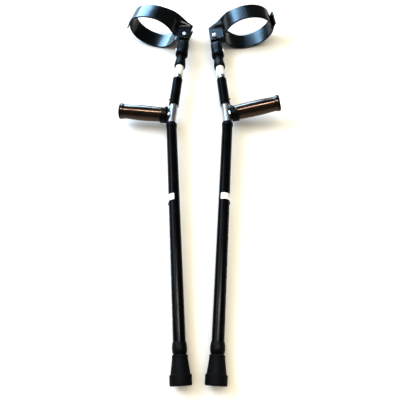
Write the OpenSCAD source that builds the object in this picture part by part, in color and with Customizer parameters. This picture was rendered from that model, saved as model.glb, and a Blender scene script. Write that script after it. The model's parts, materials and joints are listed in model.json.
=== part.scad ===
// Pair of forearm crutches with full hinged cuffs, lying side by side on the floor.
// Each crutch is drawn upright in its own frame: +Z up the lower tube from the middle
// of the tip's sole, +X towards the handle, +Y to the side of the outer cuff band.
// The pair's frame: floor at Z = 0, +Y from the tips to the cuffs, origin at the
// bottom centre of the outline.

/* [Tubes] */
// Outside diameter of the black outer tubes
outer_od = 22.2; // [21:0.1:24]
// Outside diameter of the bright inner tubes
inner_od = 19.05; // [18.6:0.05:19.4]
// Wall of the bright inner tubes
inner_wall = 1.5; // [1.2:0.1:1.8]
// Wall of the cuff stem
stem_wall = 1.4; // [1.0:0.1:1.6]
// Radial clearance of one tube in another
tube_fit = 0.075; // [0.03:0.005:0.1]
// Pitch of the adjustment holes
hole_pitch = 25.4; // [24:0.1:26]
// Radius of the adjustment holes
hole_r = 3.4; // [3.3:0.05:3.6]

/* [Leg] */
// Number of leg adjustment holes
leg_holes = 10; // [6:1:10]
// Height of the lowest leg hole above the sole
leg_hole_z = 109.4; // [105:0.5:112]
// Top end of the lower outer tube
lower_top = 532; // [528:0.5:534]
// Radius of the tip's base ring
tip_r = 19; // [17:0.5:21]
// Height of the rubber tip
tip_h = 49; // [46:0.5:49.4]

/* [Handle] */
// Distance from the sole to the bend
bend_z = 542; // [541:0.5:545]
// Angle of the bend, away from the handle
bend = 9; // [6:0.5:12]
// Height of the handle's centre line above the bend
handle_up = 15.5; // [14:0.5:18]
// Reach of the handle from the tube's centre line
handle_reach = 119; // [112:1:126]
// Largest radius of the grip
grip_r = 17.2; // [16.5:0.1:18]

/* [Forearm] */
// Bottom of the black upper sleeve above the bend
sleeve_lo = 42; // [40:0.5:46]
// Top of the black upper sleeve above the bend
sleeve_hi = 119; // [118:0.5:121]
// Snap button of the stem above the bend
button_up = 60; // [59:0.5:62]
// Cuff pivot above the bend
pivot_up = 256.5; // [256:0.5:258]

/* [Cuff] */
// Half height of the cuff loop, at the middle of the band
cuff_b = 45; // [43:0.5:47]
// Thickness of the coated steel band
band_t = 3; // [2.4:0.1:3.2]
// Width of the band
band_w = 45; // [42:1:46]
// Distance from the cuff pivot to the front of the loop
cuff_reach = 141.5; // [138:0.5:144]

/* [Placement] */
// Angle of each crutch to the pair's centre line
splay = 3.5; // [2:0.1:5]
// Distance of each tip from the pair's centre line
tip_x = 29.5; // [28:0.5:34]
// Upward turn of the left crutch's handle
roll_left = 3; // [0:0.5:6]
// Upward turn of the right crutch's handle
roll_right = 11; // [8:0.5:12]
// Tilt of the left cuff on its pivot
cuff_left = 12; // [8:0.5:14]
// Tilt of the right cuff on its pivot
cuff_right = 1; // [-2:0.5:4]

/* [Hidden] */
$fn = 48;
eps = 0.01;
outer_r = outer_od / 2;
inner_r = inner_od / 2;
outer_bore = inner_r + tube_fit;
inner_bore = inner_r - inner_wall;
stem_r = inner_bore - tube_fit;
stem_bore = stem_r - stem_wall;
loose = 0.3;                       // gap between curved faces that turn on each other

// Main bend of the handle tube
bend_r = 120;
bend_leg = bend_r * tan(bend / 2);
handle_tube_lo = 455;
handle_tube_hi = 172;              // above the bend

// Leg
lower_bottom = 54;
leg_tube_top = leg_hole_z + (leg_holes - 1) * hole_pitch + 27;
leg_button_z = leg_hole_z + (leg_holes - 1) * hole_pitch;
collar_lo = 49.5;
collar_hi = 70.5;
collar_r = 13;
tip_floor = 9;                     // rubber under the leg tube
washer_t = 1.6;

// Snap buttons
button_r = 3.1;
flange_r = 4.4;
flange_t = 1;
spring_t = 0.8;
spring_w = 6;
spring_len = 30;
stem_button_tip = 14;
leg_button_tip = 12.6;
stem_lo = 44;                      // lower end of the stem above the bend
stem_holes = 3;

// Labels
label_t = 0.25;
lower_label_z = [343, 357.5];
lower_label_from = -118;
lower_label_to = 95;
upper_label_u = [129.5, 157];

// Handle
core_r = 8;
saddle_r = 18.6;
saddle_out = 26;                   // outer face of the saddle from the tube's centre line
plug_t = 4;

// Top collar and yoke, heights above the bend
ring_lo = 157.5;
ring_hi = 181;
ring_r_lo = 13;
ring_r_hi = 11.2;
neck_r = 9.7;
neck_lo = 182;
block_lo = 193;
block_step = 203.6;
block_hi = 232;
block_r_lo = 14.5;
block_r_hi = 13.8;
head_half = 5.3;                   // half thickness of the yoke head
head_w = 12.5;                     // half width of the yoke head
clamp_u = 210;                     // clamp screw

// Cuff
tab_mid = 8;                       // middle of each tab from the crutch's centre plane
tab_back = -12.5;
band_near = -12;                   // edge towards the tip, from the pivot
band_far = band_near + band_w;
mid_h = [79, 77];                  // middle of the loop from the pivot, at the near and far edge
back_a = [55, 54];                 // half length of the loop behind its middle
bolt_r = 3;
lap = 1.8;                         // half the step between the two bands at the front
fold_lo = [20, band_near];
fold_hi = [tab_back, band_far];
knee_h = 22;                       // where the flat root of a band turns outwards
knee_from = 0.6;                   // fraction of the width from which that turn runs back
flank_sag = 6;                     // hollow of the far edge behind the loop
rim_rise = 12;                     // how far the far edge rises beside the root
rim_mid = 27;
rim_half = 22;
fold_gap = 0.4;                    // slit between tab and band, along the fold
lip_angle = 9;                     // where the outer band leaves the loop
inner_end = -13;                   // where the inner band ends
lip_len = 15;
lip_flare = 0.02;                  // outward curve of the lip

// Rest heights: the tip and the loop both touch the floor. A crutch turned about its
// tube lowers its pivot, because the upper tube leans away from the handle.
// A pose is the roll, the cuff's tilt and a fine correction to the pivot's height.
pose_left = [roll_left, cuff_left, -0.63];
pose_right = [roll_right, cuff_right, 0.15];
function loop_drop(roll) = norm([(back_a[1] + band_t / 2) * sin(roll), (cuff_b + band_t / 2) * cos(roll)]);
function pivot_z(pose) = pose[2] + loop_drop(pose[0]) - mid_h[1] * sin(pose[0]) * cos(pose[1]);
function rise(pose) = asin((pivot_z(pose) + pivot_up * sin(bend) * sin(pose[0]) - tip_r)
    / (bend_z + pivot_up * cos(bend)));
function tip_z(pose) = tip_r * cos(rise(pose)) - sin(rise(pose));
origin_shift = [-0.145, -435.93];  // tips to the bottom centre of the pair's outline

// ---------- placement ----------

// Left crutch: handle towards -X, outer band up
module left() {
    translate([-tip_x + origin_shift.x, origin_shift.y, tip_z(pose_left)])
        rotate([0, 0, splay]) rotate([rise(pose_left) - 90, 0, 0]) rotate([0, 0, 180 + roll_left])
            children();
}

// Right crutch: the same crutch turned half round, so its outer band is down
module right() {
    translate([tip_x + origin_shift.x, origin_shift.y, tip_z(pose_right)])
        rotate([0, 0, -splay]) rotate([rise(pose_right) - 90, 0, 0]) rotate([0, 0, -roll_right])
            children();
}

// Frame of the forearm part: origin at the bend, +Z up the upper tube
module forearm() {
    translate([0, 0, bend_z]) rotate([0, -bend, 0]) children();
}

// Frame of the cuff: origin at the pivot, tilted forwards and up by an angle
module cuff(tilt) {
    forearm() translate([0, 0, pivot_up]) rotate([0, -tilt, 0]) children();
}

// ---------- helpers ----------

module pipe(r, bore, lo, hi) {
    translate([0, 0, lo]) difference() {
        cylinder(r = r, h = hi - lo);
        translate([0, 0, -eps]) cylinder(r = bore, h = hi - lo + 2 * eps);
    }
}

// Drill through the wall that faces the handle
module drill(z, r) {
    translate([0, 0, z]) rotate([0, 90, 0]) cylinder(r = r, h = 2 * outer_r);
}

// Button of a tube lock: a domed pin with a flange inside the tube
module snap_button(z, root, tip) {
    dome_r = 5.2;
    translate([0, 0, z]) rotate([0, 90, 0]) {
        translate([0, 0, root]) cylinder(r = flange_r, h = flange_t);
        intersection() {
            translate([0, 0, root]) cylinder(r = button_r, h = tip - root);
            translate([0, 0, tip - dome_r]) sphere(r = dome_r);
        }
        translate([0, 0, root]) cylinder(r = button_r, h = tip - root - 1.2);
    }
}

// Spring strip bent to a V: one leg behind the button, the other on the far wall, and
// the turn above (way = 1) or below (way = -1) the button
module snap_spring(z, root, bore, way) {
    front = root - 0.1;
    back = -sqrt(pow(bore, 2) - pow(spring_w / 2, 2)) + 0.1;
    flat = 6;
    translate([0, spring_w / 2, z]) scale([1, 1, way]) rotate([90, 0, 0]) linear_extrude(spring_w)
        polygon([[front, -flat], [front - spring_t, -flat], [front - spring_t, flat],
            [back + 2 * spring_t + 0.4, spring_len - 3], [back + spring_t, spring_len - 2],
            [back + spring_t, 0], [back, 0], [back, spring_len], [back + spring_t, spring_len + 1],
            [back + 3 * spring_t, spring_len], [front, flat]]);
}

// ---------- handle tube and fixed parts ----------

// Rod along the lower tube, round the bend and along the upper tube. The bent length
// is a hair thicker than the straight ends that run into it.
module bent_rod(r, lo, hi) {
    swell = 0.02;
    overlap = 0.3;
    translate([0, 0, lo]) cylinder(r = r, h = bend_z - bend_leg + overlap - lo);
    translate([-bend_r, 0, bend_z - bend_leg]) rotate([90, 0, 0])
        rotate_extrude(angle = bend, $fn = 320) translate([bend_r, 0]) circle(r = r + swell, $fn = 48);
    forearm() translate([0, 0, bend_leg - overlap]) cylinder(r = r, h = hi - bend_leg + overlap);
}

module handle_tube() {
    color("silver") difference() {
        bent_rod(inner_r, handle_tube_lo, handle_tube_hi);
        bent_rod(inner_bore, handle_tube_lo - 1, handle_tube_hi + 1);
        forearm() for (i = [0 : stem_holes - 1]) drill(button_up + i * hole_pitch, hole_r);
    }
}

module lower_tube() {
    color("#151516") difference() {
        pipe(outer_r, outer_bore, lower_bottom, lower_top);
        for (i = [0 : leg_holes - 1]) drill(leg_hole_z + i * hole_pitch, hole_r);
    }
}

// Plastic cap that closes the gap at the top of the lower tube
module lower_tube_cap() {
    skirt = 7;
    color("#0c0c0d") rotate_extrude() polygon([
        [inner_r + 0.05, lower_top + 2.5], [inner_r + 0.05, lower_top], [outer_r + 0.05, lower_top],
        [outer_r + 0.05, lower_top - skirt], [outer_r + 1.1, lower_top - skirt],
        [outer_r + 1.3, lower_top + 0.6], [outer_r + 0.2, lower_top + 2.5]]);
}

module upper_sleeve() {
    color("#151516") forearm() difference() {
        pipe(outer_r, outer_bore, sleeve_lo, sleeve_hi);
        for (i = [0 : stem_holes - 1]) drill(button_up + i * hole_pitch, hole_r);
    }
}

// Stub welded to the bend, which carries the grip
module handle_core() {
    color("silver") forearm() translate([0, 0, handle_up]) rotate([0, 90, 0]) difference() {
        cylinder(r = core_r, h = handle_reach - plug_t);
        translate([0, 0, -eps]) cylinder(r = core_r - 1.6, h = handle_reach);
        rotate([0, -90, 0]) translate([0, 0, -40]) cylinder(r = inner_r + eps, h = 80);
        rotate([0, -90, 0]) translate([0, 0, -handle_up]) rotate([0, bend, 0])
            translate([0, 0, -60]) cylinder(r = inner_r + eps, h = 60);
    }
}

module handle_saddle() {
    inner_face = 9;
    color("#101011") forearm() translate([0, 0, handle_up]) difference() {
        rotate([0, 90, 0]) rotate_extrude() polygon([
            [core_r + 0.05, inner_face], [saddle_r - 3.6, inner_face], [saddle_r - 0.8, inner_face + 3],
            [saddle_r, inner_face + 7], [saddle_r, saddle_out - 1.5], [saddle_r - 1.5, saddle_out],
            [core_r + 0.05, saddle_out]]);
        translate([0, 0, -60]) cylinder(r = inner_r + 0.1, h = 120);
        translate([0, 0, -handle_up]) rotate([0, bend, 0])
            translate([0, 0, -60]) cylinder(r = inner_r + 0.1, h = 62);
    }
}

// Moulded grip: a slight waist at each end and an end flange
module handle_grip() {
    root = saddle_out + 0.1;
    end = handle_reach - plug_t;
    color("#1b1615") forearm() translate([0, 0, handle_up]) rotate([0, 90, 0]) difference() {
        rotate_extrude() polygon([
            [core_r + 0.1, root], [grip_r - 1.6, root], [grip_r - 0.9, root + 6],
            [grip_r, root + 30], [grip_r - 0.1, root + 48], [grip_r - 1.0, end - 18],
            [grip_r - 0.9, end - 8], [grip_r + 0.4, end - 3.5], [grip_r + 0.5, end],
            [core_r + 0.1, end]]);
        translate([0, 0, root - eps]) cylinder(r = core_r + 0.1, h = 120);
    }
}

module grip_end_plug() {
    color("#0e0e0f") forearm() translate([handle_reach - plug_t, 0, handle_up]) rotate([0, 90, 0])
        rotate_extrude() polygon([
            [0, -12], [core_r - 1.7, -12], [core_r - 1.7, 0.05], [grip_r + 0.3, 0.05],
            [grip_r + 0.1, plug_t - 1.8], [grip_r - 1.8, plug_t - 0.3], [grip_r - 6, plug_t],
            [0, plug_t]]);
}

module lower_label() {
    z = lower_label_z;
    color("white") rotate([0, 0, lower_label_from])
        rotate_extrude(angle = lower_label_to - lower_label_from)
            translate([outer_r, z[0]]) square([label_t, z[1] - z[0]]);
}

module upper_label() {
    u = upper_label_u;
    color("white") forearm() rotate_extrude()
        translate([inner_r, u[0]]) square([label_t, u[1] - u[0]]);
}

// ---------- locking collars ----------

module top_collar() {
    bore = inner_r + loose;
    step = handle_tube_hi + 1;
    color("#101011") forearm() rotate_extrude() polygon([
        [bore, ring_lo], [ring_r_lo - 0.5, ring_lo], [ring_r_lo, ring_lo + 1],
        [ring_r_lo - 0.2, ring_lo + 12],
        [ring_r_hi, ring_hi - 1.5], [ring_r_hi - 1, ring_hi], [stem_r + loose, ring_hi],
        [stem_r + loose, step], [bore, step]]);
}

module leg_collar() {
    bore = outer_r + loose;
    throat = inner_r + loose;
    step = lower_bottom - 0.6;
    color("#0b0b0c") rotate_extrude() polygon([
        [throat, collar_lo], [collar_r - 2.2, collar_lo], [collar_r - 0.6, collar_lo + 3],
        [collar_r, collar_lo + 7], [collar_r - 0.1, collar_lo + 13], [collar_r - 0.8, collar_hi - 3],
        [collar_r - 1.3, collar_hi], [bore, collar_hi], [bore, step], [throat, step]]);
}

// ---------- stem, yoke and cuff ----------

module stem_tube() {
    color("#8e9094") forearm() difference() {
        pipe(stem_r, stem_bore, stem_lo, block_step);
        drill(button_up, hole_r);
    }
}

// Moulded yoke: neck, clamp block and a flat head between the cuff tabs
module yoke() {
    color("#0e0f10") forearm() difference() {
        union() {
            translate([0, 0, neck_lo]) cylinder(r = neck_r, h = block_lo - neck_lo + 1);
            translate([0, 0, block_lo]) cylinder(r1 = block_r_lo - 1.5, r2 = block_r_lo, h = 2);
            translate([0, 0, block_lo + 2]) cylinder(r = block_r_lo, h = block_step - block_lo - 2);
            translate([0, 0, block_step]) cylinder(r = block_r_hi, h = block_hi - block_step - 2);
            translate([0, 0, block_hi - 2]) cylinder(r1 = block_r_hi, r2 = block_r_hi - 2, h = 2);
            translate([0, head_half, pivot_up]) rotate([90, 0, 0]) cylinder(r = head_w, h = 2 * head_half);
            translate([-head_w, -head_half, block_hi - 6])
                cube([2 * head_w, 2 * head_half, pivot_up - block_hi + 6]);
        }
        translate([0, 0, neck_lo - 1]) cylinder(r = stem_r + 0.02, h = block_step - neck_lo + 1.1);
        translate([0, 20, pivot_up]) rotate([90, 0, 0]) cylinder(r = bolt_r + 0.1, h = 40);
        translate([0, 0, clamp_u]) rotate([0, 90, 0]) cylinder(r = 2.1, h = 20);
    }
}

// Clamp screw in the handle side of the yoke
module yoke_screw() {
    color("#a7a9ac") forearm() translate([0, 0, clamp_u]) rotate([0, 90, 0]) difference() {
        union() {
            translate([0, 0, 1]) cylinder(r = 2, h = 14);
            translate([0, 0, block_r_hi + 0.1]) cylinder(r = 4.2, h = 1.4);
            intersection() {
                translate([0, 0, block_r_hi + 0.1]) cylinder(r = 4.2, h = 3);
                translate([0, 0, block_r_hi + 3 - 5.2]) sphere(r = 5.2);
            }
        }
        translate([-0.5, -3, block_r_hi + 2.1]) cube([1, 6, 2]);
        translate([-3, -0.5, block_r_hi + 2.1]) cube([6, 1, 2]);
    }
}

module stem_button() {
    color("#b8924a") forearm() snap_button(button_up, 3.6, stem_button_tip);
}

module stem_spring() {
    color("#9a9ca0") forearm() snap_spring(button_up, 3.6, stem_bore, 1);
}

module pivot_bolt(tilt) {
    top = tab_mid + band_t / 2;
    color("#e6e7e9") cuff(tilt) rotate([-90, 0, 0]) {
        translate([0, 0, -top - 3]) cylinder(r = bolt_r, h = 2 * top + 3);
        translate([0, 0, top]) cylinder(r = 5, h = 1.1);
        translate([0, 0, top + 1]) intersection() {
            cylinder(r = 5, h = 2.2);
            translate([0, 0, 2.2 - 6.8]) sphere(r = 6.8);
        }
    }
}

module pivot_nut(tilt) {
    top = tab_mid + band_t / 2;
    color("#d8d9db") cuff(tilt) rotate([90, 0, 0]) difference() {
        union() {
            translate([0, 0, top]) cylinder(r = 5.6, h = 3.4, $fn = 6);
            intersection() {
                translate([0, 0, top + 3]) cylinder(r = 4.6, h = 3.4);
                translate([0, 0, top + 6.4 - 5.2]) sphere(r = 5.2);
            }
        }
        translate([0, 0, top - eps]) cylinder(r = bolt_r + 0.02, h = 3.05);
    }
}

module pivot_washers(tilt) {
    inner = head_half + 0.1;
    color("#202122") cuff(tilt) for (s = [0, 180]) rotate([-90, 0, s])
        translate([0, 0, inner]) difference() {
            cylinder(r = 8, h = tab_mid - band_t / 2 - inner);
            translate([0, 0, -eps]) cylinder(r = bolt_r + 0.05, h = 5);
        }
}

// Flat tab of a band, up to the fold that slants from its front corner to its back corner
module tab(tilt, side) {
    color("#0d0e10") cuff(tilt) mirror([0, (1 - side) / 2, 0])
        translate([0, tab_mid - band_t / 2, 0]) rotate([90, 0, 0]) mirror([0, 0, 1]) difference() {
            linear_extrude(band_t) polygon([
                [tab_back + 3, band_near], fold_lo - [fold_gap, 0], fold_hi - [0, fold_gap],
                [tab_back, band_near + 3]]);
            translate([0, 0, -eps]) cylinder(r = bolt_r + 0.03, h = band_t + 2 * eps);
        }
}

// Edge line of a half band at the fraction w of its width: flat from the fold to a knee,
// a flank tangent to an ellipse, round to the front end
function between(pair, w) = pair[0] + (pair[1] - pair[0]) * w;
function eased(t) = let (u = min(1, max(0, t))) u * u * (3 - 2 * u);
function root_at(w) = between([fold_lo.x, fold_hi.x], w);
function knee_at(w) = max(root_at(w) + 1,
    between([knee_h, fold_hi.x], eased((w - knee_from) / (1 - knee_from))));
function rim_at(w, h) = band_near + band_w * w
    + rim_rise * pow(w, 3) * exp(-pow((h - rim_mid) / rim_half, 2));
function tangent_at(p) = atan2(p.y, p.x) - acos(min(1, 1 / norm(p)));
function loop_point(mid, back, front, q) = [mid + (q > 90 ? back : front) * cos(q), cuff_b * sin(q)];

steps_flank = 7;
steps_loop = 26;
steps_lip = 4;
function edge_line(w, grow, end, lip) =
    let (mid = between(mid_h, w), back = between(back_a, w), front = cuff_reach - mid + grow,
        knee = [knee_at(w), tab_mid], q0 = tangent_at([(knee.x - mid) / back, knee.y / cuff_b]),
        touch = loop_point(mid, back, front, q0), along = (touch - knee) / norm(touch - knee),
        sag = flank_sag * pow(w, 3) * [along.y, -along.x],
        last = loop_point(mid, back, front, end),
        out = [sin(lip_angle * 1.5), -cos(lip_angle * 1.5)])
    concat(
        [[root_at(w) + fold_gap, tab_mid]],
        [for (i = [0 : steps_flank - 1]) let (t = i / steps_flank)
            knee + (touch - knee) * t + sag * pow(sin(180 * t), 2)],
        [for (i = [0 : steps_loop]) loop_point(mid, back, front, q0 + (end - q0) * i / steps_loop)],
        lip > 0 ? [for (i = [1 : steps_lip]) let (t = lip * i / steps_lip)
            last + out * t + [lip_flare * t * t, 0]] : []);

// Normal of a line of points, to its outer side. At the fold it is square to the tab.
function side_of(line, i) = i == 0 ? [0, 1] :
    let (m = len(line) - 1, d = line[min(i + 1, m)] - line[i - 1]) [-d.y, d.x] / norm(d);

width_steps = 10;
module half_band(tilt, side, grow, end, lip) {
    lines = [for (j = [0 : width_steps]) edge_line(j / width_steps, grow, end, lip)];
    n = len(lines[0]);
    rows = width_steps + 1;
    points = [for (s = [1, -1], j = [0 : width_steps], i = [0 : n - 1])
        let (q = lines[j][i] + s * band_t / 2 * side_of(lines[j], i))
        [q.x, q.y, rim_at(j / width_steps, lines[j][i].x)]];
    function at(s, j, i) = (s * rows + j) * n + i;
    skin = [for (s = [0, 1], j = [0 : width_steps - 1], i = [0 : n - 2]) each s == 0
        ? [[at(0, j, i), at(0, j + 1, i), at(0, j + 1, i + 1)],
            [at(0, j, i), at(0, j + 1, i + 1), at(0, j, i + 1)]]
        : [[at(1, j, i), at(1, j + 1, i + 1), at(1, j + 1, i)],
            [at(1, j, i), at(1, j, i + 1), at(1, j + 1, i + 1)]]];
    rims = [for (i = [0 : n - 2]) each [
        [at(0, 0, i), at(0, 0, i + 1), at(1, 0, i + 1)], [at(0, 0, i), at(1, 0, i + 1), at(1, 0, i)],
        [at(0, width_steps, i), at(1, width_steps, i + 1), at(0, width_steps, i + 1)],
        [at(0, width_steps, i), at(1, width_steps, i), at(1, width_steps, i + 1)]]];
    ends = [for (j = [0 : width_steps - 1]) each [
        [at(0, j, 0), at(1, j + 1, 0), at(0, j + 1, 0)], [at(0, j, 0), at(1, j, 0), at(1, j + 1, 0)],
        [at(0, j, n - 1), at(0, j + 1, n - 1), at(1, j + 1, n - 1)],
        [at(0, j, n - 1), at(1, j + 1, n - 1), at(1, j, n - 1)]]];
    color("#101215") cuff(tilt) mirror([0, (1 - side) / 2, 0])
        polyhedron(points, concat(skin, rims, ends), convexity = 6);
}

module outer_band(tilt) {
    half_band(tilt, 1, lap, lip_angle, lip_len);
}

module inner_band(tilt) {
    half_band(tilt, -1, -lap, inner_end, 0);
}

// ---------- leg ----------

module leg_tube() {
    color("#8e9094") difference() {
        pipe(inner_r, inner_bore, tip_floor + washer_t, leg_tube_top);
        drill(leg_button_z, hole_r);
    }
}

// Rubber ferrule: cone, base ring and a grooved sole
module rubber_tip() {
    ring_h = 17;
    groove = 1.6;
    color("#1c1d20") rotate_extrude() polygon([
        [0, groove], [5, groove], [5, 0], [8, 0], [8, groove], [11, groove], [11, 0],
        [tip_r - 1, 0], [tip_r, 1], [tip_r, ring_h - 1.2], [tip_r - 0.8, ring_h],
        [tip_r - 2.4, ring_h + 0.6], [13.5, tip_h - 1], [12.8, tip_h],
        [inner_r + 0.02, tip_h], [inner_r + 0.02, tip_floor], [0, tip_floor]]);
}

module tip_washer() {
    color("#9a9ca0") pipe(inner_r - 0.1, 4, tip_floor + 0.01, tip_floor + washer_t - 0.01);
}

module leg_button() {
    color("#3a3733") snap_button(leg_button_z, 4.8, leg_button_tip);
}

module leg_spring() {
    color("#9a9ca0") snap_spring(leg_button_z, 4.8, inner_bore, -1);
}

left() handle_tube();  // left_handle_tube
left() lower_tube();  // left_lower_tube
left() lower_tube_cap();  // left_lower_tube_cap
left() upper_sleeve();  // left_upper_sleeve
left() handle_core();  // left_handle_core
left() handle_saddle();  // left_handle_saddle
left() handle_grip();  // left_handle_grip
left() grip_end_plug();  // left_grip_end_plug
left() lower_label();  // left_lower_label
left() upper_label();  // left_upper_label
left() top_collar();  // left_top_collar
left() leg_collar();  // left_leg_collar
left() stem_tube();  // left_stem_tube
left() yoke();  // left_yoke
left() yoke_screw();  // left_yoke_screw
left() stem_button();  // left_stem_button
left() stem_spring();  // left_stem_spring
left() pivot_bolt(cuff_left);  // left_pivot_bolt
left() pivot_nut(cuff_left);  // left_pivot_nut
left() pivot_washers(cuff_left);  // left_pivot_washers
left() tab(cuff_left, 1);  // left_outer_tab
left() tab(cuff_left, -1);  // left_inner_tab
left() outer_band(cuff_left);  // left_outer_band
left() inner_band(cuff_left);  // left_inner_band
left() leg_tube();  // left_leg_tube
left() rubber_tip();  // left_rubber_tip
left() tip_washer();  // left_tip_washer
left() leg_button();  // left_leg_button
left() leg_spring();  // left_leg_spring
right() handle_tube();  // right_handle_tube
right() lower_tube();  // right_lower_tube
right() lower_tube_cap();  // right_lower_tube_cap
right() upper_sleeve();  // right_upper_sleeve
right() handle_core();  // right_handle_core
right() handle_saddle();  // right_handle_saddle
right() handle_grip();  // right_handle_grip
right() grip_end_plug();  // right_grip_end_plug
right() lower_label();  // right_lower_label
right() upper_label();  // right_upper_label
right() top_collar();  // right_top_collar
right() leg_collar();  // right_leg_collar
right() stem_tube();  // right_stem_tube
right() yoke();  // right_yoke
right() yoke_screw();  // right_yoke_screw
right() stem_button();  // right_stem_button
right() stem_spring();  // right_stem_spring
right() pivot_bolt(cuff_right);  // right_pivot_bolt
right() pivot_nut(cuff_right);  // right_pivot_nut
right() pivot_washers(cuff_right);  // right_pivot_washers
right() tab(cuff_right, 1);  // right_outer_tab
right() tab(cuff_right, -1);  // right_inner_tab
right() outer_band(cuff_right);  // right_outer_band
right() inner_band(cuff_right);  // right_inner_band
right() leg_tube();  // right_leg_tube
right() rubber_tip();  // right_rubber_tip
right() tip_washer();  // right_tip_washer
right() leg_button();  // right_leg_button
right() leg_spring();  // right_leg_spring
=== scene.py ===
import math

import bmesh
import bpy
import numpy as np
from mathutils import Matrix, Vector
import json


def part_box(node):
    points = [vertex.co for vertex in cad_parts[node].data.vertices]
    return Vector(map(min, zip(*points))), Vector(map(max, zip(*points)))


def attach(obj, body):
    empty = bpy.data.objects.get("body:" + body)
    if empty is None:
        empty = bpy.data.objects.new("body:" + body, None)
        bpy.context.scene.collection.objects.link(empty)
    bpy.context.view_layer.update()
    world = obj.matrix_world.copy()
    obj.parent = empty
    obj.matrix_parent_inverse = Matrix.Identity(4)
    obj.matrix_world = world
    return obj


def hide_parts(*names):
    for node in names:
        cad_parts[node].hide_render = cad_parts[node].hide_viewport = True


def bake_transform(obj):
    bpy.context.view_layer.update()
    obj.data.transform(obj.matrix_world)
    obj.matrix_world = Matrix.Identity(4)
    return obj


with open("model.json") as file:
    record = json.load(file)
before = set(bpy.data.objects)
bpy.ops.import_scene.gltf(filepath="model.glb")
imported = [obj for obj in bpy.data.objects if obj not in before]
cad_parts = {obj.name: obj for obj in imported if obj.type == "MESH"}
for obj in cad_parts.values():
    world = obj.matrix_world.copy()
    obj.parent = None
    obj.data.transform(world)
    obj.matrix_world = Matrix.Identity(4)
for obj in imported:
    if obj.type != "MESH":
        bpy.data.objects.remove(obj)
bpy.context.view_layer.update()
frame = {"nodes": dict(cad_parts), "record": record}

JOINTS = {j["name"]: j for j in frame["record"]["behaviour"]["joints"]}
SLOT = {s["node"]: s["material_slot"] for s in frame["record"]["subparts"]}
MM = 0.001

# ---------- sizes that several pieces share, in mm ----------

# Up the lower tube, from the sole
COLLAR_MARK = 60.0
LEG_HOLE_Z, LEG_HOLES = 109.4, 10
BEND_Z = 542.0

# Up the upper tube, from the bend
HANDLE_U = 15.5
BUTTON_U, STEM_HOLES = 60.0, 3
RING_MARK = 170.0
CLAMP_SCREW_U = 210.0
PIVOT_U = 256.5

# The tubes, their holes and the bend
OUTER_R, OUTER_BORE = 11.1, 9.6
INNER_R, INNER_BORE = 9.525, 8.025
HOLE_R, HOLE_PITCH = 3.4, 25.4
LEG_TOP_HOLE = LEG_HOLE_Z + (LEG_HOLES - 1) * HOLE_PITCH
BEND, BEND_R = math.radians(9), 120.0

# The fold between a cuff's tab and its band, in the cuff's plane: front corner and back corner
FOLD_LO, FOLD_HI = np.array([20.0, -12.0]), np.array([-12.5, 33.0])
FOLD = (FOLD_HI - FOLD_LO) / np.linalg.norm(FOLD_HI - FOLD_LO)

# ---------- the crutches' own frames, from the record's joints ----------

def basis(origin, x, z):
    """Matrix from a local frame in millimetres, with Z along z and X near x, to the shared frame."""
    z = Vector(z).normalized()
    y = z.cross(Vector(x)).normalized()
    m = (Matrix((y.cross(z), y, z)).transposed() * MM).to_4x4()
    m.translation = origin
    return m


class Crutch:
    """One crutch, with a frame on its lower tube, on its upper tube and on its cuff's pivot bolt."""

    def __init__(self, side):
        self.side = side
        axis = lambda joint: Vector(JOINTS[self.name(joint)]["axis"])
        spot = lambda joint: Vector(JOINTS[self.name(joint)]["pos_m"])
        z = -axis("leg_slide")
        self.lower = basis(spot("leg_collar_turn") - z * COLLAR_MARK * MM, -axis("leg_button_press"), z)
        z = axis("stem_slide")
        self.upper = basis(spot("top_collar_turn") - z * RING_MARK * MM, -axis("stem_button_press"), z)
        fold = axis("outer_half_open")
        across = (-axis("cuff_tilt")).cross(fold)
        self.cuff = basis(spot("cuff_tilt"), FOLD[0] * fold + FOLD[1] * across,
                          FOLD[1] * fold - FOLD[0] * across)

    def name(self, what):
        return f"{self.side}_{what}"


# ---------- materials ----------

# The part of a noise's range that carries a finish from its low to its high value, and its octaves
NOISE_LOW, NOISE_HIGH = 0.3, 0.7
DETAIL_BROAD, DETAIL_FINE = 3.0, 2.0
MATERIALS = {}


def new_material(name):
    m = bpy.data.materials.new(name)
    m.use_nodes = True
    return m, m.node_tree, m.node_tree.nodes["Principled BSDF"]


def object_noise(tree, scale, detail, stretch=(1, 1, 1)):
    coord = tree.nodes.new("ShaderNodeTexCoord")
    mapping = tree.nodes.new("ShaderNodeMapping")
    mapping.inputs["Scale"].default_value = stretch
    noise = tree.nodes.new("ShaderNodeTexNoise")
    noise.inputs["Scale"].default_value = scale
    noise.inputs["Detail"].default_value = detail
    tree.links.new(coord.outputs["Object"], mapping.inputs["Vector"])
    tree.links.new(mapping.outputs["Vector"], noise.inputs["Vector"])
    return noise.outputs["Fac"]


def to_range(tree, source, low, high):
    ramp = tree.nodes.new("ShaderNodeMapRange")
    ramp.inputs["From Min"].default_value = NOISE_LOW
    ramp.inputs["From Max"].default_value = NOISE_HIGH
    ramp.inputs["To Min"].default_value = low
    ramp.inputs["To Max"].default_value = high
    tree.links.new(source, ramp.inputs["Value"])
    return ramp.outputs["Result"]


def to_colour(tree, source, low, high):
    ramp = tree.nodes.new("ShaderNodeValToRGB")
    ramp.color_ramp.elements[0].position = NOISE_LOW
    ramp.color_ramp.elements[1].position = NOISE_HIGH
    ramp.color_ramp.elements[0].color = (*low, 1)
    ramp.color_ramp.elements[1].color = (*high, 1)
    tree.links.new(source, ramp.inputs["Fac"])
    return ramp.outputs["Color"]


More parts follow.
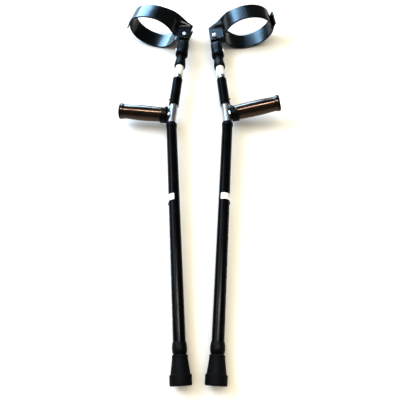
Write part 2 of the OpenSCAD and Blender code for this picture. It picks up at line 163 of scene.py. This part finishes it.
def finish(name, low, high, rough, metallic=0.0, spec=0.5, tint=(1, 1, 1), coat=0.0, coat_rough=0.05,
           scale=60, stretch=(1, 1, 1), grain=None, grain_scale=900):
    """Makes a finish whose colour and roughness vary softly. grain = (strength, distance) adds relief."""
    m, tree, shader = new_material(name)
    broad = object_noise(tree, scale, DETAIL_BROAD, stretch)
    tree.links.new(to_colour(tree, broad, low, high), shader.inputs["Base Color"])
    tree.links.new(to_range(tree, broad, *rough), shader.inputs["Roughness"])
    shader.inputs["Metallic"].default_value = metallic
    shader.inputs["Specular IOR Level"].default_value = spec
    shader.inputs["Specular Tint"].default_value = (*tint, 1)
    shader.inputs["Coat Weight"].default_value = coat
    shader.inputs["Coat Roughness"].default_value = coat_rough
    if grain:
        relief = tree.nodes.new("ShaderNodeBump")
        relief.inputs["Strength"].default_value, relief.inputs["Distance"].default_value = grain
        tree.links.new(object_noise(tree, grain_scale, DETAIL_FINE), relief.inputs["Height"])
        tree.links.new(relief.outputs["Normal"], shader.inputs["Normal"])
    MATERIALS[name] = m


finish("tube_black", (0.0015, 0.0015, 0.0018), (0.003, 0.003, 0.003), (0.2, 0.3), spec=0.12, coat=0.02,
       scale=40, grain=(0.05, 0.0002), grain_scale=500)
finish("tube_silver", (0.52, 0.495, 0.46), (0.64, 0.61, 0.57), (0.30, 0.42), metallic=1.0,
       scale=300, stretch=(1, 0.05, 1), grain=(0.08, 0.0001), grain_scale=1200)
finish("cuff_black", (0.0012, 0.0014, 0.0018), (0.0026, 0.003, 0.004), (0.2, 0.28), spec=0.35, coat=0.05,
       coat_rough=0.15, scale=25, grain=(0.12, 0.0006), grain_scale=60)
finish("moulded_black", (0.001, 0.001, 0.0012), (0.0026, 0.0026, 0.003), (0.34, 0.5), spec=0.15,
       scale=80, grain=(0.15, 0.0002), grain_scale=1400)
finish("grip_brown", (0.008, 0.0045, 0.003), (0.026, 0.014, 0.008), (0.18, 0.28), metallic=0.3, spec=0.75,
       tint=(1.0, 0.68, 0.46), coat=0.3, coat_rough=0.15, scale=50, grain=(0.12, 0.0003), grain_scale=250)
finish("tip_rubber", (0.0014, 0.0015, 0.002), (0.004, 0.0042, 0.0055), (0.55, 0.75), spec=0.14,
       scale=90, grain=(0.3, 0.0004))
finish("label_white", (0.76, 0.76, 0.76), (0.84, 0.84, 0.83), (0.3, 0.4), scale=120, grain=(0.05, 0.0001))
finish("brass", (0.45, 0.25, 0.08), (0.66, 0.42, 0.16), (0.25, 0.45), metallic=1.0, scale=400)
finish("nickel", (0.82, 0.82, 0.82), (0.92, 0.92, 0.92), (0.28, 0.42), metallic=0.7, scale=500)
finish("spring_steel", (0.35, 0.35, 0.36), (0.5, 0.5, 0.51), (0.3, 0.45), metallic=1.0, scale=300)
finish("button_dark", (0.05, 0.045, 0.04), (0.11, 0.10, 0.09), (0.3, 0.5), metallic=1.0, scale=300)
finish("nylon", (0.02, 0.02, 0.02), (0.04, 0.04, 0.04), (0.4, 0.6), scale=200)

# ---------- objects ----------

# Points nearer than this are one point, in metres for a piece and in mm for a boolean's two shapes
WELD, WELD_CUT = 1e-7, 0.01
# Edges sharper than this stay crisp: on turned pieces, and on the cuff's strips
SHARP, SHARP_STRIP = math.radians(32), math.radians(60)


def link(obj):
    bpy.context.scene.collection.objects.link(obj)
    return obj


def mesh_object(name, verts, faces, weld, sharp=SHARP):
    """An object of welded points and outward faces, smooth but for its sharp edges."""
    mesh = bpy.data.meshes.new(name)
    mesh.from_pydata(verts, [], faces)
    bm = bmesh.new()
    bm.from_mesh(mesh)
    bmesh.ops.remove_doubles(bm, verts=bm.verts, dist=weld)
    bmesh.ops.recalc_face_normals(bm, faces=bm.faces)
    for face in bm.faces:
        face.smooth = True
    for edge in bm.edges:
        edge.smooth = not (len(edge.link_faces) == 2 and edge.calc_face_angle(0) > sharp)
    bm.to_mesh(mesh)
    bm.free()
    return link(bpy.data.objects.new(name, mesh))


def add_piece(name, shape, matrix, material, sharp=SHARP):
    """A piece from a shape, which is its points in millimetres and its faces."""
    verts, faces = shape
    placed = [matrix @ Vector(v) for v in np.asarray(verts, float).tolist()]
    obj = mesh_object(name, placed, faces, WELD, sharp)
    obj.data.materials.append(MATERIALS[material])
    return obj


def place(obj, crutch, body, slot, *nodes):
    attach(obj, crutch.name(body))
    if nodes:
        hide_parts(*[crutch.name(n) for n in nodes])


def put(crutch, name, shape, matrix, body, material, *nodes):
    """Adds a piece of one material, on its body and in the place of its CAD nodes."""
    place(add_piece(crutch.name(name), shape, matrix, material), crutch, body, material, *nodes)


def along_x(z):
    """A frame whose Z runs along +X, at a height."""
    return Matrix.Translation((0, 0, z)) @ Matrix.Rotation(math.pi / 2, 4, "Y")


def along_y(sign):
    """A frame whose Z runs along +Y or -Y."""
    return Matrix.Rotation(-sign * math.pi / 2, 4, "X")


# ---------- shapes ----------

# Turned profiles that reach the axis stop at this radius, so that no face there shrinks to a line
AXIS_R = 0.01


def rounded(points, radii, steps=5):
    """The profile with its corners rounded: radii maps a corner's index to a radius."""
    out = []
    n = len(points)
    for i, p in enumerate(points):
        if i not in radii:
            out.append(tuple(p))
            continue
        p = np.array(p, float)
        a, b = np.array(points[i - 1], float) - p, np.array(points[(i + 1) % n], float) - p
        la, lb = np.linalg.norm(a), np.linalg.norm(b)
        cut = min(radii[i], la * 0.49, lb * 0.49)
        first, last = p + a / la * cut, p + b / lb * cut
        for k in range(steps + 1):
            t = k / steps
            out.append(tuple((1 - t) ** 2 * first + 2 * t * (1 - t) * p + t * t * last))
    return out


def lathe(profile, segments=96, wave=None):
    """Turns a closed (radius, height) profile about Z. wave(angle, radius, height) adds to its radius."""
    verts, faces = [], []
    n = len(profile)
    for s in range(segments):
        a = 2 * math.pi * s / segments
        for r, z in profile:
            q = r + (wave(a, r, z) if wave else 0)
            verts.append((q * math.cos(a), q * math.sin(a), z))
    for s in range(segments):
        t = (s + 1) % segments
        for i in range(n):
            k = (i + 1) % n
            faces.append((s * n + i, t * n + i, t * n + k, s * n + k))
    return verts, faces


def rings(lo, hi, step):
    """Even heights from lo to hi, about a step apart."""
    count = max(2, int(round((hi - lo) / step)))
    return [lo + (hi - lo) * i / count for i in range(count + 1)]


def tube_shell(lo, hi, step, ease=0.4):
    """A straight length of the black tube, with rings about a step apart and eased ends."""
    zs = rings(lo, hi, step)[1:-1]
    outer = [(OUTER_R - ease, lo), (OUTER_R, lo + ease)] + [(OUTER_R, z) for z in zs]
    outer += [(OUTER_R, hi - ease), (OUTER_R - ease, hi)]
    inner = [(OUTER_BORE + ease / 2, hi), (OUTER_BORE, hi - ease)] + [(OUTER_BORE, z) for z in zs[::-1]]
    inner += [(OUTER_BORE, lo + ease), (OUTER_BORE + ease / 2, lo)]
    return lathe(outer + inner)


def drilled(shape, heights):
    """The shape with a hole through its +X wall at each height, cut by a boolean."""
    verts, faces = [], []
    axis, near, far = WELD_CUT / 10, 2, 20
    for z in heights:
        v, f = lathe([(axis, near), (HOLE_R, near), (HOLE_R, far), (axis, far)], 40)
        faces += [tuple(len(verts) + i for i in q) for q in f]
        verts += [tuple(along_x(z) @ Vector(p)) for p in v]
    cutter = mesh_object("drill", verts, faces, WELD_CUT)
    tube = mesh_object("undrilled", *shape, WELD_CUT)
    cut = tube.modifiers.new("holes", "BOOLEAN")
    cut.operation = "DIFFERENCE"
    cut.solver = "EXACT"
    cut.object = cutter
    depsgraph = bpy.context.evaluated_depsgraph_get()
    result = bpy.data.meshes.new_from_object(tube.evaluated_get(depsgraph))
    shape = [tuple(v.co) for v in result.vertices], [tuple(p.vertices) for p in result.polygons]
    bpy.data.objects.remove(tube)
    bpy.data.objects.remove(cutter)
    bpy.data.meshes.remove(result)
    return shape


def swept_tube(path, r, bore, segments=96):
    """A tube along a path of points in the XZ plane."""
    verts, faces = [], []
    n = len(path)
    for radius in (r, bore):
        for i, p in enumerate(path):
            d = np.array(path[min(i + 1, n - 1)]) - np.array(path[max(i - 1, 0)])
            d = d / np.linalg.norm(d)
            across = np.array([d[2], 0, -d[0]])
            for s in range(segments):
                a = 2 * math.pi * s / segments
                verts.append(tuple(np.array(p) + across * radius * math.cos(a)
                                   + np.array([0, radius * math.sin(a), 0])))
    at = lambda wall, i, s: (wall * n + i) * segments + s % segments
    for s in range(segments):
        for i in range(n - 1):
            faces.append((at(0, i, s), at(0, i, s + 1), at(0, i + 1, s + 1), at(0, i + 1, s)))
            faces.append((at(1, i, s), at(1, i + 1, s), at(1, i + 1, s + 1), at(1, i, s + 1)))
        faces.append((at(0, 0, s), at(1, 0, s), at(1, 0, s + 1), at(0, 0, s + 1)))
        faces.append((at(0, n - 1, s), at(0, n - 1, s + 1), at(1, n - 1, s + 1), at(1, n - 1, s)))
    return verts, faces


def loft(sections, segments=96):
    """A closed body through superellipse sections (z, half x, half y, power)."""
    verts, faces = [], []
    for z, hx, hy, power in sections:
        for s in range(segments):
            a = 2 * math.pi * (s + 0.5) / segments
            x, y = math.cos(a), math.sin(a)
            verts.append((hx * math.copysign(abs(x) ** (2 / power), x),
                          hy * math.copysign(abs(y) ** (2 / power), y), z))
    n = len(sections)
    for i in range(n - 1):
        for s in range(segments):
            t = (s + 1) % segments
            low, high = i * segments, (i + 1) * segments
            faces.append((low + s, low + t, high + t, high + s))
    faces.append(tuple(range(segments))[::-1])
    faces.append(tuple((n - 1) * segments + s for s in range(segments)))
    return verts, faces


# How far the face between saddle and grip leans, and how far it stands back from the grip's root
SEAT_LEAN, SEAT_BACK = 0.34, 5.0


def slanted(shape, still, full):
    """A lathed shape whose face between saddle and grip leans, from none at still to all at full."""
    verts, faces = shape
    verts = np.array(verts, float)
    weight = np.clip((verts[:, 2] - still) / (full - still), 0, 1)
    verts[:, 2] += weight * (SEAT_LEAN * verts[:, 0] - SEAT_BACK)
    return verts, faces


# ---------- the cuff's strips ----------

# Each line of a strip lies in the cuff's plane of h, out from the pivot bolt, and v, off the middle.
# Pairs are for the near and the far rim, and w is the fraction of the width between them.
STRIP_T, STRIP_W = 3.0, 45.0
RIM_NEAR = -12.0
TAB_MID = 8.0
# The loop: its half height, its front, its middle, and its half length behind the middle
LOOP_B, LOOP_FRONT = 45.0, 141.5
LOOP_MID, LOOP_BACK = (79.0, 77.0), (55.0, 54.0)
# The lap: half the step between the halves, where the inner one ends, and the outer one's lip
LAP, INNER_END = 1.8, -13.0
LIP_ANGLE, LIP_LEN, LIP_FLARE = 9.0, 15.0, 0.02
# The knee where the plate turns into the flank, drawn back to the fold from KNEE_FROM on, and the
# flank's sag at the far rim
KNEE_H, KNEE_FROM, FLANK_SAG = 22.0, 0.6, 6.0
# The far rim's rise beside the root: height, middle, half length
RIM_RISE, RIM_MID, RIM_HALF = 12.0, 27.0, 22.0
# Length over which the folds are eased, and radii of the strip's corners at the root and at the end
FOLD_EASE = 3.0
ROOT_CORNER, END_CORNER = 4.0, 5.0
# Steps of a line's parts, and of the whole strip
FLANK_STEPS, LOOP_STEPS, LIP_STEPS = 16, 90, 8
ACROSS_STEPS, ALONG_STEPS = 20, 190


def eased_step(t):
    t = min(1.0, max(0.0, t))
    return t * t * (3 - 2 * t)


def strip_row(w, grow, end, lip):
    """One line along a half of the cuff: plate, knee, flank, loop and lip."""
    mid = LOOP_MID[0] + (LOOP_MID[1] - LOOP_MID[0]) * w
    back = LOOP_BACK[0] + (LOOP_BACK[1] - LOOP_BACK[0]) * w
    front = LOOP_FRONT - mid + grow
    root = FOLD_LO[0] + (FOLD_HI[0] - FOLD_LO[0]) * w
    turn = eased_step((w - KNEE_FROM) / (1 - KNEE_FROM))
    knee = np.array([max(root + 1, KNEE_H + (FOLD_HI[0] - KNEE_H) * turn), TAB_MID])
    # the flank is the tangent from the knee to the loop's ellipse
    p = np.array([(knee[0] - mid) / back, knee[1] / LOOP_B])
    start = math.atan2(p[1], p[0]) - math.acos(min(1.0, 1.0 / np.linalg.norm(p)))
    spot = lambda q: np.array([mid + (back if q > math.pi / 2 else front) * math.cos(q),
                               LOOP_B * math.sin(q)])
    flank = spot(start) - knee
    along = flank / np.linalg.norm(flank)
    sag = FLANK_SAG * w ** 3 * np.array([along[1], -along[0]])
    line = [np.array([FOLD_HI[0] - 0.01, TAB_MID])]
    for t in np.linspace(0, 1, FLANK_STEPS + 1)[:-1]:
        line.append(knee + flank * t + sag * math.sin(math.pi * t) ** 2)
    for q in np.linspace(start, math.radians(end), LOOP_STEPS + 1):
        line.append(spot(q))
    if lip:
        last = line[-1]
        lean = math.radians(LIP_ANGLE * 1.5)
        for t in np.linspace(0, lip, LIP_STEPS + 1)[1:]:
            line.append(last + t * np.array([math.sin(lean) + LIP_FLARE * t, -math.cos(lean)]))
    return np.array(line)


def rim_rise(w, h):
    """How far a point of the strip is moved away from the tip, beside the root."""
    return RIM_RISE * w ** 3 * np.exp(-((h - RIM_MID) / RIM_HALF) ** 2)


def run(line):
    """The length along a line, at each of its points."""
    return np.r_[0, np.cumsum(np.linalg.norm(np.diff(line, axis=0), axis=1))]


def resample(line, s):
    d = run(line)
    return np.c_[np.interp(s, d, line[:, 0]), np.interp(s, d, line[:, 1])]


def eased(line, width):
    """The line with its corners eased over about width millimetres."""
    step = 0.5
    dense = resample(line, np.arange(0, run(line)[-1], step))
    k = int(width / step)
    kernel = np.hanning(2 * k + 3)[1:-1]
    kernel /= kernel.sum()
    head = 2 * dense[0] - dense[1:k + 1][::-1]
    tail = 2 * dense[-1] - dense[-k - 1:-1][::-1]
    longer = np.r_[head, dense, tail]
    return np.c_[np.convolve(longer[:, 0], kernel, "valid"), np.convolve(longer[:, 1], kernel, "valid")]


def edge_steps(length, count):
    """Positions along a length, close together at both ends so that the rims come out round."""
    near = np.array([0, 0.12, 0.4, 0.85, 1.5])
    return np.r_[near, np.linspace(2.4, length - 2.4, count), (length - near)[::-1]]


def corner_cut(side, radius):
    """How far an end is pulled in at a distance from a side edge, for a rounded corner."""
    d = max(0.0, radius - side)
    return radius - math.sqrt(max(0.0, radius * radius - d * d))


def strip(outer):
    """One half of the cuff with round rims, on the +Y side."""
    grow, end, lip = (LAP, LIP_ANGLE, LIP_LEN) if outer else (-LAP, INNER_END, 0)
    widths = edge_steps(STRIP_W, ACROSS_STEPS)
    grid = []
    for mm in widths:
        w = mm / STRIP_W
        line = eased(strip_row(w, grow, end, lip), FOLD_EASE)
        side = min(mm, STRIP_W - mm)
        first, last = corner_cut(side, ROOT_CORNER), run(line)[-1] - corner_cut(side, END_CORNER)
        p = resample(line, edge_steps(last - first, ALONG_STEPS) + first)
        grid.append(np.c_[p, RIM_NEAR + mm + rim_rise(w, p[:, 0])])
    grid = np.array(grid)
    normal = np.cross(np.gradient(grid, axis=0), np.gradient(grid, axis=1))
    normal /= np.linalg.norm(normal, axis=2)[:, :, None]
    # the thickness falls off as a half circle toward the nearest edge
    half = STRIP_T / 2
    ends = np.array([np.minimum(run(row), run(row)[-1] - run(row)) for row in grid])
    edge = np.minimum(ends, np.minimum(widths, STRIP_W - widths)[:, None])
    t = half * np.sqrt(np.clip(1 - (1 - np.clip(edge / half, 0, 1)) ** 2, 0, 1))
    offset = normal * t[:, :, None]
    verts = np.concatenate([(grid + offset).reshape(-1, 3), (grid - offset).reshape(-1, 3)])
    rows, count = grid.shape[:2]
    at = lambda k, j, i: (k * rows + j) * count + i
    faces = []
    for j in range(rows - 1):
        for i in range(count - 1):
            faces.append((at(0, j, i), at(0, j, i + 1), at(0, j + 1, i + 1), at(0, j + 1, i)))
            faces.append((at(1, j, i), at(1, j + 1, i), at(1, j + 1, i + 1), at(1, j, i + 1)))
    return verts, faces


# ---------- pieces ----------

def rubber_tip(c):
    profile = rounded([
        (AXIS_R, 1.6), (5, 1.6), (5, 0), (8, 0), (8, 1.6), (11, 1.6), (11, 0), (19, 0), (19, 17),
        (17.0, 17.8), (16.7, 19.6), (15.0, 32), (13.7, 43), (13.5, 45.2), (13.7, 46), (13.7, 48.2),
        (12.6, 49), (9.56, 49), (9.56, 9.0), (AXIS_R, 9.0)],
        {1: .3, 2: .4, 3: .4, 4: .3, 5: .3, 6: .5, 7: 1.6, 8: 1.4, 9: 1.0, 10: 1.0, 11: 4, 12: 2, 13: .8,
         14: .3, 15: .9, 16: .7})
    put(c, "tip", lathe(profile), c.lower, "leg", "tip_rubber", "rubber_tip")


def leg_collar(c):
    profile = rounded([
        (9.83, 49.5), (11.2, 49.5), (12.2, 52.5), (13.0, 56.5), (13.05, 60), (12.9, 64), (12.2, 68),
        (11.9, 70.5), (11.4, 70.5), (11.4, 53.4), (9.83, 53.4)],
        {1: .8, 2: 1.5, 3: 2, 4: 2, 5: 2, 6: .4, 7: .3})
    ribs = lambda a, r, z: -0.22 * max(0.0, math.cos(24 * a)) ** 6 if r > 12.15 and 52 < z < 68 else 0.0
    put(c, "collar_low", lathe(profile, 192, ribs), c.lower, "leg_ring", "moulded_black", "leg_collar")


def lower_tube(c):
    lo, hi = 54, 532
    shape = drilled(tube_shell(lo, hi, 4), [LEG_HOLE_Z + i * HOLE_PITCH for i in range(LEG_HOLES)])
    put(c, "tube_low", shape, c.lower, "frame", "tube_black", "lower_tube")
    cap = rounded([
        (9.58, 534.4), (9.58, 532.05), (11.15, 532.05), (11.15, 525), (11.7, 525), (11.9, 532.6),
        (11.0, 534.4)], {4: .3, 5: .9, 6: .8})
    put(c, "cap_low", lathe(cap), c.lower, "frame", "moulded_black", "lower_tube_cap")


def handle_tube(c):
    """The bright tube, from inside the lower tube, round the bend and up to the top collar."""
    lo, hi, turns = 455, 172, 12
    tangent = BEND_R * math.tan(BEND / 2)
    path = [(0, 0, z) for z in rings(lo, BEND_Z - tangent, 8)]
    for i in range(1, turns + 1):
        a = BEND * i / turns
        path.append((-BEND_R + BEND_R * math.cos(a), 0, BEND_Z - tangent + BEND_R * math.sin(a)))
    for u in rings(tangent, hi, 3)[1:]:
        path.append((-u * math.sin(BEND), 0, BEND_Z + u * math.cos(BEND)))
    put(c, "tube_handle", swept_tube(path, INNER_R, INNER_BORE), c.lower, "frame", "tube_silver",
        "handle_tube")


def upper_sleeve(c):
    """The black sleeve above the bend, round the middle of its CAD node's box."""
    lo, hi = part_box(c.name("upper_sleeve"))
    middle, half = (c.upper.inverted() @ ((lo + hi) / 2)).z, 38.5
    shape = drilled(tube_shell(middle - half, middle + half, 3),
                    [BUTTON_U + i * HOLE_PITCH for i in range(STEM_HOLES)])
    put(c, "tube_up", shape, c.upper, "frame", "tube_black", "upper_sleeve")


def handle(c):
    """The saddle, the grip and its end plug, out along +X from the upper tube."""
    root, end, bore = 26.1, 115.0, 8.1
    at = c.upper @ along_x(HANDLE_U)
    saddle = rounded([
        (bore, 9.6), (15, 9.6), (17.6, 10.5), (18.6, 12.5), (18.6, 24.4), (17.2, 26), (bore, 26)],
        {1: 1.0, 2: 1.2, 3: 1, 4: 1.2, 5: .8}, 6)
    put(c, "saddle", slanted(lathe(saddle, 128), 12.5, 24.4), at, "frame", "moulded_black", "handle_saddle")
    grip = rounded([
        (bore, root), (15.5, root), (16.0, root + 3), (16.3, root + 8), (17.0, root + 28),
        (17.2, root + 40), (17.0, root + 56), (16.2, end - 20), (16.0, end - 9), (16.3, end - 6),
        (17.5, end - 4), (17.7, end), (bore, end)],
        {1: 1.0, 2: 1, 3: 6, 4: 8, 5: 6, 6: 8, 7: 5, 8: 2, 9: 1.0, 10: .9, 11: .5}, 6)
    put(c, "grip", slanted(lathe(grip, 128), 60, root), at, "frame", "grip_brown", "handle_grip")
    plug = rounded([
        (AXIS_R, 103), (6.3, 103), (6.3, end + 0.05), (17.6, end + 0.05), (17.5, 117.2), (15.6, 118.9),
        (11, 119), (9.6, 118.2), (AXIS_R, 118.2)], {3: .3, 4: 1.2, 5: 1.4, 6: .5, 7: .5}, 6)
    put(c, "grip_plug", lathe(plug), at, "frame", "moulded_black", "grip_end_plug")


def top_collar(c):
    profile = rounded([
        (9.83, 157.5), (12.4, 157.5), (13.0, 158.6), (13.05, 163), (12.7, 168), (12.1, 170), (11.7, 172),
        (11.4, 179.5), (10.4, 181), (8.25, 181), (8.25, 173), (9.83, 173)],
        {1: .5, 2: .8, 3: 2, 4: 1.5, 5: .8, 6: .8, 7: 1, 8: .5})
    flutes = lambda a, r, z: -0.35 * max(0.0, math.cos(9 * a)) ** 4 if r > 11 and z > 169 else 0.0
    put(c, "collar_top", lathe(profile, 192, flutes), c.upper, "top_ring", "moulded_black", "top_collar")


def yoke(c):
    """The neck, the clamp block with its flat round head, and the clamp screw."""
    neck = rounded([(8.0, 182), (9.7, 182), (9.7, 194), (8.0, 194)], {1: .8})
    put(c, "yoke_neck", lathe(neck), c.upper, "stem", "moulded_black")
    head_r, head_y = 12.5, 5.3
    block = [
        (193, 12.6, 12.6, 2.0), (193.5, 13.4, 13.4, 2.0), (194.6, 14.2, 14.2, 2.0), (196, 14.5, 14.5, 2.1),
        (202.4, 14.5, 14.5, 2.1), (203.3, 14.3, 14.3, 2.1), (203.8, 13.6, 13.6, 2.2),
        (205, 13.5, 13.5, 2.4), (208, 13.6, 13.6, 2.6), (226, 13.7, 13.7, 2.8), (231, 13.6, 13.4, 3.0),
        (232.6, 13.5, 12.6, 3.0), (238, 13.0, 6.6, 3.4), (239.6, 12.7, 5.5, 4.0),
        (240.6, 12.6, head_y, 5.0), (PIVOT_U, head_r, head_y, 6.0)]
    head = [(PIVOT_U + head_r * math.sin(a), head_r * math.cos(a), head_y, 6.0)
            for a in np.linspace(0.1, 1.5, 12)]
    put(c, "yoke_block", loft(block + head), c.upper, "stem", "moulded_black", "yoke")
    screw = rounded([
        (AXIS_R, 11), (2, 11), (2, 13.9), (4.3, 13.9), (4.3, 14.8), (2.5, 16.6), (1.2, 16.7), (1.2, 15.9),
        (AXIS_R, 15.9)], {4: .6, 5: 1})
    put(c, "yoke_screw", lathe(screw, 48), c.upper @ along_x(CLAMP_SCREW_U), "stem", "nickel", "yoke_screw")


def label(c, name, node, matrix, r, lo, hi, start, end):
    """A film label wrapped on a tube from one angle to another, with rounded corners."""
    verts, faces = [], []
    cols, rows, corner = 64, 8, 1.5
    arc = math.radians(end - start) * r
    for lift in (0.02, 0.25):
        for i in range(cols + 1):
            a = math.radians(start + (end - start) * i / cols)
            cut = corner_cut(min(i, cols - i) / cols * arc, corner)
            for j in range(rows + 1):
                z = lo + cut + (hi - lo - 2 * cut) * j / rows
                verts.append(((r + lift) * math.cos(a), (r + lift) * math.sin(a), z))
    at = lambda k, i, j: (k * (cols + 1) + i) * (rows + 1) + j
    for i in range(cols):
        for j in range(rows):
            faces.append((at(1, i, j), at(1, i + 1, j), at(1, i + 1, j + 1), at(1, i, j + 1)))
            faces.append((at(0, i, j), at(0, i, j + 1), at(0, i + 1, j + 1), at(0, i + 1, j)))
        faces.append((at(0, i, 0), at(0, i + 1, 0), at(1, i + 1, 0), at(1, i, 0)))
        faces.append((at(0, i, rows), at(1, i, rows), at(1, i + 1, rows), at(0, i + 1, rows)))
    for j in range(rows):
        faces.append((at(0, 0, j), at(1, 0, j), at(1, 0, j + 1), at(0, 0, j + 1)))
        faces.append((at(0, cols, j), at(0, cols, j + 1), at(1, cols, j + 1), at(1, cols, j)))
    put(c, name, (verts, faces), matrix, "frame", "label_white", node)


def snap_button(c, name, node, matrix, z, root, tip, body, material):
    """A flanged button from its root inside the tube to its domed tip, at a height."""
    profile = rounded([
        (AXIS_R, root), (4.4, root), (4.4, root + 1), (3.1, root + 1), (3.1, tip - 1.2), (2.4, tip - 0.45),
        (1.2, tip - 0.08), (AXIS_R, tip)], {2: .2, 3: .2, 4: .5, 5: .5, 6: .4})
    put(c, name, lathe(profile, 48), matrix @ along_x(z), body, material, node)


def pivot(c):
    """The bolt through both tabs, and the domed nut under the inner one."""
    top, flat_r = TAB_MID + STRIP_T / 2, 5.6
    bolt = rounded([
        (AXIS_R, -top - 3), (3, -top - 3), (3, top), (5, top), (5, top + 1.3), (3.6, top + 2.6),
        (1.6, top + 3.1), (AXIS_R, top + 3.2)], {4: .6, 5: .8, 6: .6})
    put(c, "pivot_bolt", lathe(bolt, 64), c.cuff @ along_y(1), "cuff", "nickel", "pivot_bolt")
    sixth = math.pi / 3
    hexagon = lambda a: flat_r * math.cos(sixth / 2) / math.cos((a + sixth / 2) % sixth - sixth / 2)
    flats = lambda a, r, z: (min(r, hexagon(a)) - r) if r > 4.7 else 0.0
    nut = rounded([
        (3.05, top), (flat_r, top), (flat_r, top + 3.1), (5.2, top + 3.4), (4.6, top + 3.5),
        (4.5, top + 4.6), (3.2, top + 6.0), (1.4, top + 6.4), (AXIS_R, top + 6.4), (AXIS_R, top + 3.1),
        (3.05, top + 3.1)], {2: .2, 5: .5, 6: .8, 7: .6})
    put(c, "pivot_nut", lathe(nut, 96, flats), c.cuff @ along_y(-1), "cuff", "nickel", "pivot_nut")


def cuff_strips(c):
    """Both halves, each one piece placed in the cuff's frame, in the place of its tab and band."""
    for outer, side in ((True, 1), (False, -1)):
        which = "outer" if outer else "inner"
        verts, faces = strip(outer)
        verts = verts * np.array([1, side, 1])
        obj = add_piece(c.name(f"strip_{which}"), (verts, faces), c.cuff, "cuff_black", SHARP_STRIP)
        c.name("cuff")
        c.name(f"{which}_half")
        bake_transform(obj)
        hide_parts(c.name(f"{which}_tab"), c.name(f"{which}_band"))


for side in ("left", "right"):
    c = Crutch(side)
    rubber_tip(c)
    leg_collar(c)
    lower_tube(c)
    handle_tube(c)
    upper_sleeve(c)
    handle(c)
    top_collar(c)
    yoke(c)
    label(c, "label_low", "lower_label", c.lower, OUTER_R, 343, 357.5, -118, 95)
    label(c, "label_up", "upper_label", c.upper, INNER_R, 129.5, 157, -172, 172)
    snap_button(c, "button_stem", "stem_button", c.upper, BUTTON_U, 3.6, 14.0, "stem_lock", "brass")
    snap_button(c, "button_leg", "leg_button", c.lower, LEG_TOP_HOLE, 4.8, 12.6, "leg_lock", "button_dark")
    pivot(c)
    cuff_strips(c)

# The CAD nodes that stay get their slot's material
for name, node in frame["nodes"].items():
    if not node.hide_render:
        node.data.materials.clear()
        node.data.materials.append(MATERIALS[SLOT[name]])

# ---------- floor, light, camera ----------

def floor():
    size = 6.0
    mesh = bpy.data.meshes.new("floor")
    mesh.from_pydata([(-size, -size, 0), (size, -size, 0), (size, size, 0), (-size, size, 0)], [],
                     [(0, 1, 2, 3)])
    m, tree, shader = new_material("floor")
    shade = to_colour(tree, object_noise(tree, 1.4, DETAIL_FINE), (0.86, 0.86, 0.86), (0.90, 0.895, 0.885))
    tree.links.new(shade, shader.inputs["Base Color"])
    shader.inputs["Roughness"].default_value = 0.6
    shader.inputs["Specular IOR Level"].default_value = 0.2
    mesh.materials.append(m)
    obj = link(bpy.data.objects.new("floor", mesh))


def area_light(name, spot, target, size, power, colour, diffuse=True, glossy=True):
    """A rectangular light that can be hidden from diffuse or from glossy rays."""
    data = bpy.data.lights.new(name, "AREA")
    data.shape = "RECTANGLE"
    data.size, data.size_y = size
    data.energy = power
    data.color = colour
    obj = link(bpy.data.objects.new(name, data))
    obj.location = spot
    obj.rotation_euler = (Vector(target) - Vector(spot)).to_track_quat("-Z", "Y").to_euler()
    obj.visible_diffuse = diffuse
    obj.visible_glossy = glossy


def pale_world():
    """A world that is pale and warm on the floor and behind it, and dim and cool in the gloss."""
    world = bpy.data.worlds.new("world")
    world.use_nodes = True
    tree = world.node_tree
    sky = tree.nodes.new("ShaderNodeMix")
    sky.data_type = "RGBA"
    sky.inputs["A"].default_value = (0.62, 0.59, 0.54, 1)
    sky.inputs["B"].default_value = (0.18, 0.20, 0.22, 1)
    tree.links.new(tree.nodes.new("ShaderNodeLightPath").outputs["Is Glossy Ray"], sky.inputs["Factor"])
    tree.links.new(sky.outputs["Result"], tree.nodes["Background"].inputs["Color"])
    return world


floor()
area_light("key", (-1.5, 0.6, 1.6), (0, 0.1, 0), (1.4, 1.4), 50, (0.62, 0.77, 1.0))
area_light("overhead", (0.3, 0, 2.6), (0, 0, 0), (3.0, 3.0), 58, (1.0, 0.90, 0.65), glossy=False)
area_light("panel", (-0.68, 2.1, 0.75), (0, 0.4, 0.05), (1.25, 1.1), 95, (0.45, 0.72, 1.0), diffuse=False)
area_light("streak", (0, 0.05, 2.2), (0, 0.05, 0), (1.4, 0.3), 55, (1.0, 0.93, 0.86), diffuse=False)

scene = bpy.context.scene
scene.world = pale_world()
scene.view_settings.view_transform = "Standard"
scene.view_settings.gamma = 0.75

camera = bpy.data.cameras.new("camera")
camera.sensor_width = 36
camera.lens = 38.3076
camera.clip_start = 0.01
scene.camera = link(bpy.data.objects.new("camera", camera))
scene.camera.location = (0.04017, -0.48498, 0.7951)
scene.camera.rotation_euler = [math.radians(a) for a in (27.2076, 2.766, 0.2163)]
